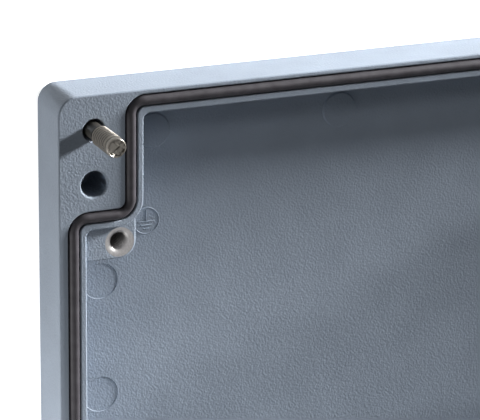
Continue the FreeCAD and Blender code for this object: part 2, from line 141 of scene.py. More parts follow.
# Lamps: name, what it aims at, azimuth from +X and rise in degrees, distance and size in metres,
# watts, and the spread of the beam in degrees
LID_AIM = Vector((74.018, -220.394, 20)) * MM
BASE_AIM = Vector((0, 20, 30)) * MM
LAMPS = (
    ("low_key", LID_AIM, 204, 5, 1.5, 0.18, 0.72, 18),
    ("high_key", LID_AIM, 206, 13, 1.5, 0.24, 0.42, 18),
    ("top_key", LID_AIM, 207, 32, 1.5, 0.24, 0.045, 18),
    ("side_fill", LID_AIM, 22, 3, 0.25, 0.05, 0.25, 180),
    ("corner_fill", LID_AIM, 54, 15, 0.15, 0.06, 0.05, 180),
    ("base_fill", BASE_AIM, 60, 50, 0.9, 0.06, 0.06, 14),
)

# How brightly the floor shines for the camera alone
FLOOR_GLOW = 0.8

# The camera aims at the photographed corner: its place, its roll and its lens in millimetres.
CAMERA_EYE = Vector((383.375, -479.277, 726.347)) * MM
CAMERA_ROLL = math.radians(126.751)
CAMERA_LENS = 209.433


def node_centre(node):
    low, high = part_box(node)
    return (low + high) / 2


# Sizes and colours that a user would change

class BoxSizes(bpy.types.PropertyGroup):
    thread_pitch: FloatProperty(
        name="Thread Pitch", description="Rise of the screw threads in one turn",
        default=1.25 * MM, min=0.4 * MM, max=2 * MM, unit="LENGTH",
    )
    thread_depth: FloatProperty(
        name="Thread Depth", description="Depth of the cut of the screw threads",
        default=0.65 * MM, min=0.1 * MM, max=1 * MM, unit="LENGTH",
    )
    thread_length: FloatProperty(
        name="Thread Length", description="Threaded end of a lid screw",
        default=13 * MM, min=2 * MM, max=30 * MM, unit="LENGTH",
    )
    groove_width: FloatProperty(
        name="Groove Width", description="Width of the groove that the seal lies in",
        default=3.7 * MM, min=1 * MM, max=8 * MM, unit="LENGTH",
    )
    seal_play: FloatProperty(
        name="Seal Play", description="Gap between the seal and each wall of its groove",
        default=0.15 * MM, min=0, max=1 * MM, unit="LENGTH",
    )
    seal_bend: FloatProperty(
        name="Seal Bend", description="Radius of the seal's bends at its middle line",
        default=4.2 * MM, min=2 * MM, max=20 * MM, unit="LENGTH",
    )
    seal_step_x: FloatProperty(
        name="Seal Step X", description="How far the seal steps in from the short side",
        default=17.45 * MM, min=5 * MM, max=60 * MM, unit="LENGTH",
    )
    seal_step_y: FloatProperty(
        name="Seal Step Y", description="How far the seal steps in from the long side",
        default=33.2 * MM, min=5 * MM, max=60 * MM, unit="LENGTH",
    )
    seal_pinch: FloatProperty(
        name="Seal Pinch", description="How much the seal narrows in its bends",
        default=0.05, min=0, max=0.5, subtype="FACTOR",
    )
    sign_radius: FloatProperty(
        name="Sign Radius", description="Ring of the cast earth sign",
        default=4.0 * MM, min=1 * MM, max=10 * MM, unit="LENGTH",
    )
    sign_line: FloatProperty(
        name="Sign Line", description="Width of the lines of the cast earth sign",
        default=0.45 * MM, min=0.1 * MM, max=2 * MM, unit="LENGTH",
    )


class BoxFinish(bpy.types.PropertyGroup):
    paint_colour: FloatVectorProperty(
        name="Paint", description="Powder coat of both castings", subtype="COLOR",
        size=3, min=0, max=1, default=(0.250, 0.290, 0.345),
    )
    rubber_colour: FloatVectorProperty(
        name="Rubber", description="Seal in the lid's groove", subtype="COLOR",
        size=3, min=0, max=1, default=(0.045, 0.042, 0.047),
    )
    steel_colour: FloatVectorProperty(
        name="Steel", description="Stainless lid screws", subtype="COLOR",
        size=3, min=0, max=1, default=(0.17, 0.157, 0.137),
    )
    bare_colour: FloatVectorProperty(
        name="Bare Metal", description="Machined aluminium of the earth points", subtype="COLOR",
        size=3, min=0, max=1, default=(0.32, 0.31, 0.305),
    )
    nylon_colour: FloatVectorProperty(
        name="Nylon", description="Rings that keep the screws in the lid", subtype="COLOR",
        size=3, min=0, max=1, default=(0.60, 0.59, 0.55),
    )
    grain_size: FloatProperty(
        name="Grain Size", description="Width of one bump of the powder coat",
        default=0.6 * MM, min=0.1 * MM, max=5 * MM, unit="LENGTH",
    )
    grain_height: FloatProperty(
        name="Grain Height", description="Height of the bumps of the powder coat",
        default=0.12 * MM, min=0, max=1 * MM, unit="LENGTH",
    )


class BoxStage(bpy.types.PropertyGroup):
    lamp_power: FloatProperty(
        name="Lamp Power", description="Share of their set power that all lamps have",
        default=1.0, min=0, max=10, subtype="FACTOR",
    )
    fill_strength: FloatProperty(
        name="Fill Strength", description="Brightness of the pale room round the box",
        default=0.065, min=0, max=2,
    )
    floor_colour: FloatVectorProperty(
        name="Floor", description="Pale floor under the box", subtype="COLOR",
        size=3, min=0, max=1, default=(0.86, 0.87, 0.88),
    )


# Helpers for pieces

def deselect_all():
    if bpy.context.object and bpy.context.object.mode != "OBJECT":
        bpy.ops.object.mode_set(mode="OBJECT")
    bpy.ops.object.select_all(action="DESELECT")


def make_active(piece):
    deselect_all()
    piece.select_set(True)
    bpy.context.view_layer.objects.active = piece


def select_faces(piece, test):
    """Select the faces whose centre and normal pass a test, and stay in edit mode."""
    make_active(piece)
    bpy.ops.object.mode_set(mode="EDIT")
    bpy.ops.mesh.select_mode(type="FACE")
    bpy.ops.mesh.select_all(action="DESELECT")
    bpy.ops.object.mode_set(mode="OBJECT")
    for face in piece.data.polygons:
        face.select = test(face.center, face.normal)
    bpy.ops.object.mode_set(mode="EDIT")


def apply_modifiers(piece):
    make_active(piece)
    for modifier in list(piece.modifiers):
        bpy.ops.object.modifier_apply(modifier=modifier.name)


def apply_place(piece):
    """Put the piece's place, turn and scale in its mesh."""
    make_active(piece)
    bpy.ops.object.transform_apply(location=True, rotation=True, scale=True)


def edit_all(piece):
    """Open the piece in edit mode with all of it selected."""
    make_active(piece)
    bpy.ops.object.mode_set(mode="EDIT")
    bpy.ops.mesh.select_all(action="SELECT")


def weld(piece):
    edit_all(piece)
    bpy.ops.mesh.remove_doubles(threshold=0.002 * MM)
    bpy.ops.object.mode_set(mode="OBJECT")


def turn_outwards(piece):
    edit_all(piece)
    bpy.ops.mesh.normals_make_consistent(inside=False)
    bpy.ops.object.mode_set(mode="OBJECT")


def soften(piece, angle):
    """Shade smoothly over edges flatter than an angle in degrees, and keep flat faces flat."""
    make_active(piece)
    bpy.ops.object.shade_smooth_by_angle(angle=math.radians(angle))
    weighted = piece.modifiers.new("Weighted Normal", "WEIGHTED_NORMAL")
    weighted.mode = "FACE_AREA"
    weighted.weight = 90
    weighted.keep_sharp = True
    apply_modifiers(piece)


def copy_of_node(node, name):
    """A welded copy of a CAD node, free of its body."""
    make_active(frame["nodes"][node])
    bpy.ops.object.duplicate()
    piece = bpy.context.object
    bpy.ops.object.parent_clear(type="CLEAR_KEEP_TRANSFORM")
    del piece["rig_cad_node"]
    piece.name = name
    piece.data.name = name
    weld(piece)
    return piece


def hand_over(piece, body, material_slot, *nodes):
    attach(piece, body)
    if nodes:
        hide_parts(*nodes)


def set_material(piece, material):
    piece.data.materials.clear()
    piece.data.materials.append(material)


def rounded_bar(place, half_across, half_along, half_line):
    """A short bar with round ends and edges, half sunk where it stands."""
    deselect_all()
    bpy.ops.mesh.primitive_cube_add(size=2 * half_line, location=place)
    bar = bpy.context.object
    bar.scale = (1 + half_across / half_line, 1 + half_along / half_line, 1)
    apply_place(bar)
    edit_all(bar)
    bpy.ops.mesh.bevel(offset=0.9 * half_line, segments=4, affect="EDGES")
    bpy.ops.object.mode_set(mode="OBJECT")
    return bar


def seal_bends(half_x, half_y, step_x, step_y):
    """The corners of the stepped line round the lid, each with the ways in and out of it."""
    corners = []
    for sx, sy in CORNERS:
        steps = [
            (half_x, half_y - step_y), (half_x - step_x, half_y - step_y), (half_x - step_x, half_y)
        ]
        if sx * sy < 0:
            steps.reverse()
        corners += [Vector((sx * x, sy * y, 0)) for x, y in steps]
    ways = [(corners[(i + 1) % 12] - corners[i]).normalized() for i in range(12)]
    return [(corners[i], ways[i - 1], ways[i]) for i in range(12)]


def lay_bend(points, corner, before, after, radius, pinch):
    """Three curve points that lead round one square corner on an arc. The reach is the length
    of the handles that bend an eighth of a circle."""
    reach = radius * 4 / 3 * math.tan(math.pi / 16)
    centre = corner + (after - before) * radius
    middle = centre - (after - before).normalized() * radius
    along = (before + after).normalized()
    stops = (
        (corner - before * radius, before, 1),
        (middle, along, 1 - pinch),
        (corner + after * radius, after, 1),
    )
    for place, way, width in stops:
        point = next(points)
        point.handle_left_type = "FREE"
        point.handle_right_type = "FREE"
        point.co = place
        point.handle_left = place - way * reach
        point.handle_right = place + way * reach
        point.radius = width


def stepped_curve(name, sizes, centre, inwards=0.0, corner=None, pinch=0.0):
    """A closed curve along the seal's middle line, or a distance inside it. Its bends follow
    the seal unless the radius of the outer ones is given."""
    half = (seal_high - seal_low) / 2
    margin = sizes.groove_width / 2 - sizes.seal_play + inwards
    bends = seal_bends(half.x - margin, half.y - margin, sizes.seal_step_x, sizes.seal_step_y)
    deselect_all()
    bpy.ops.curve.primitive_bezier_circle_add(location=centre)
    curve = bpy.context.object
    curve.name = name
    curve.data.splines[0].bezier_points.add(3 * len(bends) - 4)
    points = iter(curve.data.splines[0].bezier_points)
    outer_radius = corner or sizes.seal_bend - inwards
    for number, (place, before, after) in enumerate(bends):
        inner = number % 3 == 1
        radius = sizes.seal_bend + inwards if inner else outer_radius
        lay_bend(points, place, before, after, radius, pinch)
    curve.data.resolution_u = 8
    return curve


def section(places, resolution):
    """A closed section for a swept piece, from (place, left handle, right handle) rows."""
    deselect_all()
    bpy.ops.curve.primitive_bezier_circle_add()
    curve = bpy.context.object
    spline = curve.data.splines[0]
    spline.bezier_points.add(len(places) - 4)
    for point, (place, left, right) in zip(spline.bezier_points, places):
        point.handle_left_type = "FREE"
        point.handle_right_type = "FREE"
        point.co = Vector((*place, 0))
        point.handle_left = point.co + Vector((*left, 0))
        point.handle_right = point.co + Vector((*right, 0))
    curve.data.resolution_u = resolution
    return curve


def swept(curve, along):
    """The curve made a closed solid with the section, which is then deleted."""
    curve.data.bevel_mode = "OBJECT"
    curve.data.bevel_object = along
    make_active(curve)
    bpy.ops.object.convert(target="MESH")
    bpy.data.objects.remove(along)
    apply_place(curve)
    weld(curve)
    turn_outwards(curve)
    return curve


def quarter(radius, steps=6, from_flat=False):
    """Steps (inwards, along) round a quarter turn, from an upright wall to a flat face."""
    places = []
    for step in range(steps + 1):
        turn = math.radians(90 * step / steps)
        place = (radius * (1 - math.cos(turn)), radius * math.sin(turn))
        places.append(place[::-1] if from_flat else place)
    return [(b[0] - a[0], b[1] - a[1]) for a, b in zip(places, places[1:])]


def drafted(height):
    return [(height * DRAFT, height)]


def filled(curve):
    """The closed curve made a flat face."""
    make_active(curve)
    bpy.ops.object.convert(target="MESH")
    apply_place(curve)
    weld(curve)
    edit_all(curve)
    bpy.ops.mesh.edge_face_add()
    bpy.ops.object.mode_set(mode="OBJECT")
    return curve


def raised(piece, height):
    """Pull a flat face up to a closed solid."""
    edit_all(piece)
    bpy.ops.mesh.extrude_region_move(TRANSFORM_OT_translate={"value": (0, 0, height)})
    bpy.ops.object.mode_set(mode="OBJECT")
    turn_outwards(piece)


def loft(piece, upwards, levels):
    """Carry the top or the bottom face on through levels, each inwards and along."""
    way = 1 if upwards else -1
    select_faces(piece, lambda centre, normal: way * normal.z > 0.9)
    for inwards, along in levels:
        bpy.ops.mesh.inset(thickness=inwards, depth=along, use_even_offset=True)
    bpy.ops.object.mode_set(mode="OBJECT")
    return piece


def split(piece, place, way):
    """Cut the piece's faces along a plane through a place, and keep both sides."""
    edit_all(piece)
    bpy.ops.mesh.bisect(plane_co=place, plane_no=way)
    bpy.ops.object.mode_set(mode="OBJECT")


def rounded_plate(name, place, half_x, half_y, radius, keep=None, steps=16):
    """A flat rectangle with round corners, or with only the corner nearest a point round."""
    deselect_all()
    bpy.ops.mesh.primitive_plane_add(size=2, location=place)
    piece = bpy.context.object
    piece.name = name
    piece.scale = (half_x, half_y, 1)
    apply_place(piece)
    bpy.ops.object.mode_set(mode="EDIT")
    bpy.ops.mesh.select_mode(type="VERT")
    bpy.ops.mesh.select_all(action="DESELECT")
    bpy.ops.object.mode_set(mode="OBJECT")
    corners = piece.data.vertices
    if keep:
        corners = [min(corners, key=lambda corner: (corner.co - keep).length)]
    for corner in corners:
        corner.select = True
    bpy.ops.object.mode_set(mode="EDIT")
    bpy.ops.mesh.bevel(offset=radius, segments=steps, affect="VERTICES")
    bpy.ops.object.mode_set(mode="OBJECT")
    return piece


def turned(name, profile, steps=64):
    """A solid of revolution about the Z axis, from (radius, height) corners in millimetres
    that start and end on the axis."""
    deselect_all()
    bpy.ops.mesh.primitive_circle_add(vertices=len(profile), radius=MM, location=(0, 0, 0))
    piece = bpy.context.object
    piece.name = name
    for corner, (radius, rise) in zip(piece.data.vertices, profile):
        corner.co = Vector((radius, 0, rise)) * MM
    bpy.ops.object.mode_set(mode="EDIT")
    bpy.ops.mesh.select_mode(type="EDGE")
    bpy.ops.mesh.select_all(action="DESELECT")
    bpy.ops.object.mode_set(mode="OBJECT")
    for edge in piece.data.edges:
        edge.select = all(profile[corner][0] == 0 for corner in edge.vertices)
    bpy.ops.object.mode_set(mode="EDIT")
    bpy.ops.mesh.delete(type="EDGE")
    bpy.ops.object.mode_set(mode="OBJECT")
    winding = piece.modifiers.new("Turning", "SCREW")
    winding.axis = "Z"
    winding.steps = steps
    winding.render_steps = steps
    winding.use_merge_vertices = True
    winding.merge_threshold = 0.001 * MM
    apply_modifiers(piece)
    weld(piece)
    turn_outwards(piece)
    return piece


def repeated(name, piece, places):
    """Copies of a piece that was modelled at the origin, one at each place, joined."""
    pieces = [piece]
    for place in places[1:]:
        make_active(piece)
        bpy.ops.object.duplicate()
        pieces.append(bpy.context.object)
        pieces[-1].location = place
        apply_place(pieces[-1])
    piece.location = places[0]
    apply_place(piece)
    return joined(name, pieces)


def round_mouth(radius, height, rounding):
    """The end of a hole's profile in millimetres: a rounded mouth, then on past the face."""
    places = [(radius, height - rounding)]
    for inwards, along in quarter(rounding, 5):
        places.append((places[-1][0] + inwards, places[-1][1] + along))
    rim = radius + rounding
    return places + [(rim, height + 1), (0, height + 1)]


def joined(name, pieces):
    """The pieces made one object, which is the first of them."""
    deselect_all()
    for piece in pieces:
        piece.select_set(True)
    bpy.context.view_layer.objects.active = pieces[0]
    if len(pieces) > 1:
        bpy.ops.object.join()
    pieces[0].name = name
    return pieces[0]


def helix(name, foot, root, crest, half_width, pitch, turns, steps=36):
    """A closed helical ridge or cutter with a three-cornered section, its wide side at the
    root radius and its point at the crest radius."""
    deselect_all()
    bpy.ops.mesh.primitive_circle_add(
        vertices=3, radius=half_width, fill_type="NGON", location=foot, rotation=(math.pi / 2, 0, 0)
    )
    piece = bpy.context.object
    piece.name = name
    apply_place(piece)
    outline = ((root, half_width), (root, -half_width), (crest, 0))
    for corner, (radius, rise) in zip(piece.data.vertices, outline):
        corner.co = foot + Vector((radius, 0, rise))
    bpy.context.scene.cursor.location = foot
    bpy.ops.object.origin_set(type="ORIGIN_CURSOR")
    edit_all(piece)
    bpy.ops.mesh.delete(type="ONLY_FACE")
    bpy.ops.object.mode_set(mode="OBJECT")
    winding = piece.modifiers.new("Winding", "SCREW")
    winding.axis = "Z"
    winding.screw_offset = pitch
    winding.iterations = turns
    winding.steps = steps
    winding.render_steps = steps
    winding.use_normal_calculate = True
    apply_modifiers(piece)
    bpy.ops.object.mode_set(mode="EDIT")
    bpy.ops.mesh.select_mode(type="EDGE")
    bpy.ops.mesh.select_all(action="DESELECT")
    bpy.ops.mesh.select_non_manifold()
    bpy.ops.mesh.fill_holes(sides=3)
    bpy.ops.object.mode_set(mode="OBJECT")
    apply_place(piece)
    turn_outwards(piece)
    return piece


def combine(piece, other, operation):
    """Add the other solid to the piece or take it out of it, and delete the other."""
    make_active(piece)
    boolean = piece.modifiers.new("Combine", "BOOLEAN")
    boolean.operation = operation
    boolean.solver = "MANIFOLD"
    boolean.object = other
    apply_modifiers(piece)
    bpy.data.objects.remove(other)


# Materials

def new_material(name):
    material = bpy.data.materials.new(name)
    material.use_nodes = True
    tree = material.node_tree
    shader = tree.nodes["Principled BSDF"]
    place = tree.nodes.new("ShaderNodeTexCoord")
    return material, tree, shader, place.outputs["Object"]


def noise(tree, place, size, detail=2.0, roughness=0.5):
    node = tree.nodes.new("ShaderNodeTexNoise")
    node.inputs["Scale"].default_value = 1 / size
    node.inputs["Detail"].default_value = detail
    node.inputs["Roughness"].default_value = roughness
    tree.links.new(place, node.inputs["Vector"])
    return node.outputs["Fac"]


def tinted(colour, share):
    return tuple(min(1.0, part * share) for part in colour)


def colour_between(tree, shader, factor, colour, low, high):
    """Let the base colour run between two shares of itself."""
    node = tree.nodes.new("ShaderNodeValToRGB")
    for element, position, share in zip(node.color_ramp.elements, (0.3, 0.7), (low, high)):
        element.position = position
        element.color = (*tinted(colour, share), 1)
    tree.links.new(factor, node.inputs["Fac"])
    tree.links.new(node.outputs["Color"], shader.inputs["Base Color"])


def between(tree, factor, low, high):
    node = tree.nodes.new("ShaderNodeMapRange")
    node.inputs["To Min"].default_value = low
    node.inputs["To Max"].default_value = high
    tree.links.new(factor, node.inputs["Value"])
    return node.outputs["Result"]


def rough_between(tree, shader, factor, low, high):
    tree.links.new(between(tree, factor, low, high), shader.inputs["Roughness"])


def bump(tree, shader, height, distance, strength=1.0):
    node = tree.nodes.new("ShaderNodeBump")
    node.inputs["Strength"].default_value = strength
    node.inputs["Distance"].default_value = distance
    tree.links.new(height, node.inputs["Height"])
    tree.links.new(node.outputs["Normal"], shader.inputs["Normal"])


def seen_plainly(tree):
    """1 for the rays that see the background itself, 0 for those that light the object."""
    path = tree.nodes.new("ShaderNodeLightPath")
    seen = path.outputs["Is Camera Ray"]
    for kind in ("Is Glossy Ray", "Is Transmission Ray"):
        either = tree.nodes.new("ShaderNodeMath")
        either.operation = "MAXIMUM"
        tree.links.new(seen, either.inputs[0])
        tree.links.new(path.outputs[kind], either.inputs[1])
        seen = either.outputs["Value"]
    return seen


def powder_coat(finish):
    material, tree, shader, place = new_material("powder_coat")
    clouds = noise(tree, place, 14 * MM, detail=3)
    colour_between(tree, shader, clouds, finish.paint_colour, 0.95, 1.05)
    grain = noise(tree, place, finish.grain_size, detail=0.8, roughness=0.4)
    rough_between(tree, shader, grain, 0.46, 0.58)
    bump(tree, shader, grain, finish.grain_height)
    shader.inputs["Specular IOR Level"].default_value = 0.15
    return material


def rubber(finish):
    material, tree, shader, place = new_material("seal_rubber")
    dust = noise(tree, place, 3 * MM, detail=4)
    colour_between(tree, shader, dust, finish.rubber_colour, 0.8, 1.3)
    skin = noise(tree, place, 0.25 * MM, detail=3)
    rough_between(tree, shader, skin, 0.42, 0.6)
    bump(tree, shader, skin, 0.02 * MM, strength=0.6)
    shader.inputs["Specular IOR Level"].default_value = 0.15
    return material


def metal(name, colour, low_roughness, high_roughness, mark_size=0.8 * MM, metallic=1.0):
    """Machined metal with fine marks, which vary its colour, its roughness and its height."""
    material, tree, shader, place = new_material(name)
    marks = noise(tree, place, mark_size, detail=4)
    colour_between(tree, shader, marks, colour, 0.85, 1.08)
    shader.inputs["Metallic"].default_value = metallic
    rough_between(tree, shader, marks, low_roughness, high_roughness)
    bump(tree, shader, marks, 0.02 * MM, strength=0.5)
    return material


def nylon(finish):
    material, tree, shader, place = new_material("ring_nylon")
    grain = noise(tree, place, 0.4 * MM, detail=3)
    colour_between(tree, shader, grain, finish.nylon_colour, 0.92, 1.05)
    rough_between(tree, shader, grain, 0.45, 0.6)
    bump(tree, shader, grain, 0.02 * MM, strength=0.4)
    shader.inputs["Subsurface Weight"].default_value = 0.1
    shader.inputs["Subsurface Scale"].default_value = 0.5 * MM
    return material


# Castings

def corner_place(centre, side, inset, height=0.0):
    """A place a distance in from the two sides of one corner of a casting."""
    aside = Vector((side[0] * (HALF.x - inset.x), side[1] * (HALF.y - inset.y), height))
    return aside + Vector((centre.x, centre.y, 0))


def in_corners(centre, inset, height=0.0):
    return [corner_place(centre, side, inset, height) for side in CORNERS]


def casting_blank(name, sizes, centre, top, floor, corner):
    """The outer block of a casting with its stepped hollow. The corner is the radius of the
    hollow's outer bends, below the rounding of its rim."""
    start = Vector((centre.x, centre.y, top - EDGE_ROUND))
    shrink = EDGE_ROUND * DRAFT
    blank = rounded_plate(name, start, HALF.x - shrink, HALF.y - shrink, CORNER_RADIUS)
    raised(blank, -SLIVER)
    wall = drafted(top - EDGE_ROUND - SLIVER - BACK_ROUND)
    loft(blank, upwards=False, levels=wall + quarter(BACK_ROUND, 8))
    loft(blank, upwards=True, levels=quarter(EDGE_ROUND, 4))

    above = Vector((centre.x, centre.y, top + MM))
    inwards = sizes.groove_width / 2 + RIM_WIDTH - RIM_ROUND
    hollow = filled(stepped_curve("hollow", sizes, above, inwards, corner + RIM_ROUND))
    raised(hollow, -MM)
    rim = quarter(RIM_ROUND, 4, from_flat=True)
    wall = drafted(top - RIM_ROUND - floor - FLOOR_ROUND)
    loft(hollow, upwards=False, levels=rim + wall + quarter(FLOOR_ROUND))
    for aside in HOLLOW_SPLITS:
        split(hollow, Vector((centre.x + aside, centre.y, 0)), (1, 0, 0))
    split(hollow, Vector((centre.x, centre.y, 0)), (0, 1, 0))
    combine(blank, hollow, "DIFFERENCE")
    return blank


def earth_pad(centre, side, floor, top):
    """The pad in the nook beside a corner column, with its one free corner round."""
    free_inset = EARTH_INSET + Vector((EARTH_PAD_RADIUS, EARTH_PAD_RADIUS, 0))
    free = corner_place(centre, side, free_inset, floor - MM)
    root = corner_place(centre, side, EARTH_ROOT_INSET, floor - MM)
    half = (free - root) / 2
    edge = 0.45 * MM
    pad = rounded_plate(
        "earth_pad", (free + root) / 2, abs(half.x), abs(half.y), EARTH_PAD_RADIUS, keep=free
    )
    raised(pad, top - edge - free.z)
    return loft(pad, upwards=True, levels=quarter(edge, 4))


def raised_marks(centre, floor, insets):
    """The discs that the ejector pins leave standing on the floor."""
    mark = turned("mark", [
        (0, -1), (5.5, -1), (5.5, 0), (5.42, 0.1), (5.12, 0.37), (4.95, 0.45), (0, 0.45)
    ])
    places = []
    for inset in insets:
        places += in_corners(centre, inset, floor)
    return repeated("raised_marks", mark, places)


def sunk_marks(centre, floor):
    """Cutters for the prints that the ejector pins leave in the floor."""
    mark = turned("mark", [
        (0, -0.2), (5.3, -0.2), (5.4, -0.15), (5.48, -0.05), (5.5, 0), (5.5, 1), (0, 1)
    ])
    return repeated("sunk_marks", mark, in_corners(centre, SUNK_MARK_INSET, floor))


def groove_section(half_width):
    """The groove's section, with rounded edges at its mouth."""
    side = half_width
    rim = half_width + RIM_ROUND
    deep = GROOVE_DEPTH
    pull = 0.55 * RIM_ROUND
    none = (0, 0)
    return section((
        ((-side, 0), none, none),
        ((side, 0), none, none),
        ((side, deep - RIM_ROUND), none, (0, pull)),
        ((rim, deep), (-pull, 0), none),
        ((rim, deep + MM), none, none),
        ((-rim, deep + MM), none, none),
        ((-rim, deep), none, (pull, 0)),
        ((-side, deep - RIM_ROUND), (0, pull), none),
    ), resolution=5)


def tongue_section():
    """The section of the base's tongue, its crest bevelled."""
    none = (0, 0)
    outline = ((-0.9, 0), (0.9, 0), (0.9, 1.7), (0.6, 2), (-0.6, 2), (-0.9, 1.7))
    return section([((x * MM, y * MM), none, none) for x, y in outline], resolution=1)


def tapped_cutter(mouths, depth, turns, pitch):
    """Helical cutters for a thread in holes with their mouths at the places given."""
    foot = Vector((0, 0, -depth))
    root = TAP_RADIUS - OVERLAP
    thread = helix("thread", foot, root, THREAD_RADIUS, 0.46 * pitch, pitch, turns)
    return repeated("threads", thread, mouths)


def second_material(piece, material, test):
    """Give a second material to the faces whose centre and normal pass a test."""
    piece.data.materials.append(material)
    select_faces(piece, test)
    piece.active_material_index = 1
    bpy.ops.object.material_slot_assign()
    bpy.ops.object.mode_set(mode="OBJECT")


def bare_holes(casting, mouths, reach, material):
    """Give the walls of machined holes a second material."""

    def machined(centre, normal):
        return any(
            (centre - mouth).to_2d().length < reach and mouth.z - centre.z > 0.01 * MM
            for mouth in mouths
        )

    second_material(casting, material, machined)


class BOX_OT_lid(bpy.types.Operator):
    """Cast the lid: stepped hollow, seal groove, corner holes, earth pad and ejector marks"""

    bl_idname = "diecast.lid"
    bl_label = "Lid"

    def execute(self, context):
        finish = context.scene.box_finish
        sizes = context.scene.box_sizes
        lid = casting_blank("lid_shell", sizes, lid_centre, LID_TOP, LID_FLOOR, corner=2 * MM)
        added = joined("added", [
            earth_pad(lid_centre, (1, -1), LID_FLOOR, LID_EARTH_TOP),
            raised_marks(lid_centre, LID_FLOOR, RAISED_MARK_INSETS),
        ])
        combine(lid, added, "UNION")

        bed = Vector((lid_centre.x, lid_centre.y, LID_TOP - GROOVE_DEPTH))
        groove = swept(stepped_curve("groove", sizes, bed), groove_section(sizes.groove_width / 2))
        screw_hole = turned("screw_hole", [
            (0, -1), (5.75, -1), (5.75, 8), (2.5, 8), (2.5, 10.5), (3.35, 10.5),
            *round_mouth(3.35, 20, 0.35),
        ])
        blind_hole = turned("blind_hole", [
            (0, 7), (3.2, 7), (3.7, 7.2), (3.9, 7.7), *round_mouth(3.9, 20, 0.6)
        ])
        earth_hole = turned("earth_hole", [
            (0, 6.5), (2.5, 6.5), (2.5, 17.3), (2.8, 17.5), (4.45, 18.5), (4.45, 19), (0, 19)
        ])
        mouth = corner_place(lid_centre, (1, -1), EARTH_INSET, LID_EARTH_TOP)
        cutters = joined("cutters", [
            groove,
            repeated("screw_holes", screw_hole, in_corners(lid_centre, SCREW_INSET)),
            repeated("blind_holes", blind_hole, in_corners(lid_centre, WALL_HOLE_INSET)),
            repeated("earth_hole", earth_hole, [Vector((mouth.x, mouth.y, 0))]),
            sunk_marks(lid_centre, LID_FLOOR),
        ])
        combine(lid, cutters, "DIFFERENCE")
        thread = tapped_cutter([mouth], LID_TAP_DEPTH, LID_TAP_TURNS, sizes.thread_pitch)
        combine(lid, thread, "DIFFERENCE")

        set_material(lid, powder_coat(finish))
        bare = metal("bare_aluminium", finish.bare_colour, 0.28, 0.45, mark_size=0.6 * MM)
        bare_holes(lid, [mouth], 4.5 * MM, bare)
        soften(lid, SMOOTH_BELOW)
        hand_over(lid, "box", "casting_paint", "lid_casting")
        return {"FINISHED"}


class BOX_OT_base(bpy.types.Operator):
    """Cast the base: deep stepped hollow, tongue, corner holes, pillars and earth pad"""

    bl_idname = "diecast.base"
    bl_label = "Base"

    def execute(self, context):
        sizes = context.scene.box_sizes
        centre = Vector((0, 0, 0))
        base = casting_blank("base_shell", sizes, centre, BASE_TOP, BASE_FLOOR, corner=4 * MM)
        root = Vector((0, 0, BASE_TOP - MM))
        tongue = swept(stepped_curve("tongue", sizes, root), tongue_section())
        pillar = turned("pillar", [
            (0, 3), (5.7, 3), (5.7, 4), (5.25, 4.3), (5, 5), (5, 11.7), (4.7, 12), (0, 12)
        ])
        added = joined("added", [
            tongue,
            repeated("pillars", pillar, in_corners(centre, PILLAR_INSET)),
            earth_pad(centre, (-1, 1), BASE_FLOOR, BASE_EARTH_TOP),
            raised_marks(centre, BASE_FLOOR, RAISED_MARK_INSETS[1:]),
        ])
        combine(base, added, "UNION")

        tapped_hole = turned("tapped_hole", [
            (0, 46), (2.5, 46), (2.5, 70.4), (3.1, 71), (3.1, 72), (0, 72)
        ])
        wall_hole = turned("wall_hole", [
            (0, -1), (3.5, -1), (3.5, 12), (6, 12), *round_mouth(6, 71, 0.4)
        ])
        pillar_hole = turned("pillar_hole", [
            (0, 5), (1.65, 5), (1.65, 11.7), (1.95, 12), (1.95, 13), (0, 13)
        ])
        earth_hole = turned("earth_hole", [
            (0, 4.2), (2.5, 4.2), (2.5, 15.4), (3.1, 16), (3.1, 17), (0, 17)
        ])
        earth_mouth = corner_place(centre, (-1, 1), EARTH_INSET, BASE_EARTH_TOP)
        cutters = joined("cutters", [
            repeated("tapped_holes", tapped_hole, in_corners(centre, SCREW_INSET)),
            repeated("wall_holes", wall_hole, in_corners(centre, WALL_HOLE_INSET)),
            repeated("pillar_holes", pillar_hole, in_corners(centre, PILLAR_INSET)),
            repeated("earth_hole", earth_hole, [Vector((earth_mouth.x, earth_mouth.y, 0))]),
            sunk_marks(centre, BASE_FLOOR),
        ])
        combine(base, cutters, "DIFFERENCE")
        mouths = [*in_corners(centre, SCREW_INSET, BASE_TOP), earth_mouth]
        thread = tapped_cutter(mouths, BASE_TAP_DEPTH, BASE_TAP_TURNS, sizes.thread_pitch)
        combine(base, thread, "DIFFERENCE")

        set_material(base, bpy.data.materials["powder_coat"])
        bare_holes(base, mouths, 3.15 * MM, bpy.data.materials["bare_aluminium"])
        soften(base, SMOOTH_BELOW)
        hand_over(base, "box", "casting_paint", "base_casting")
        return {"FINISHED"}


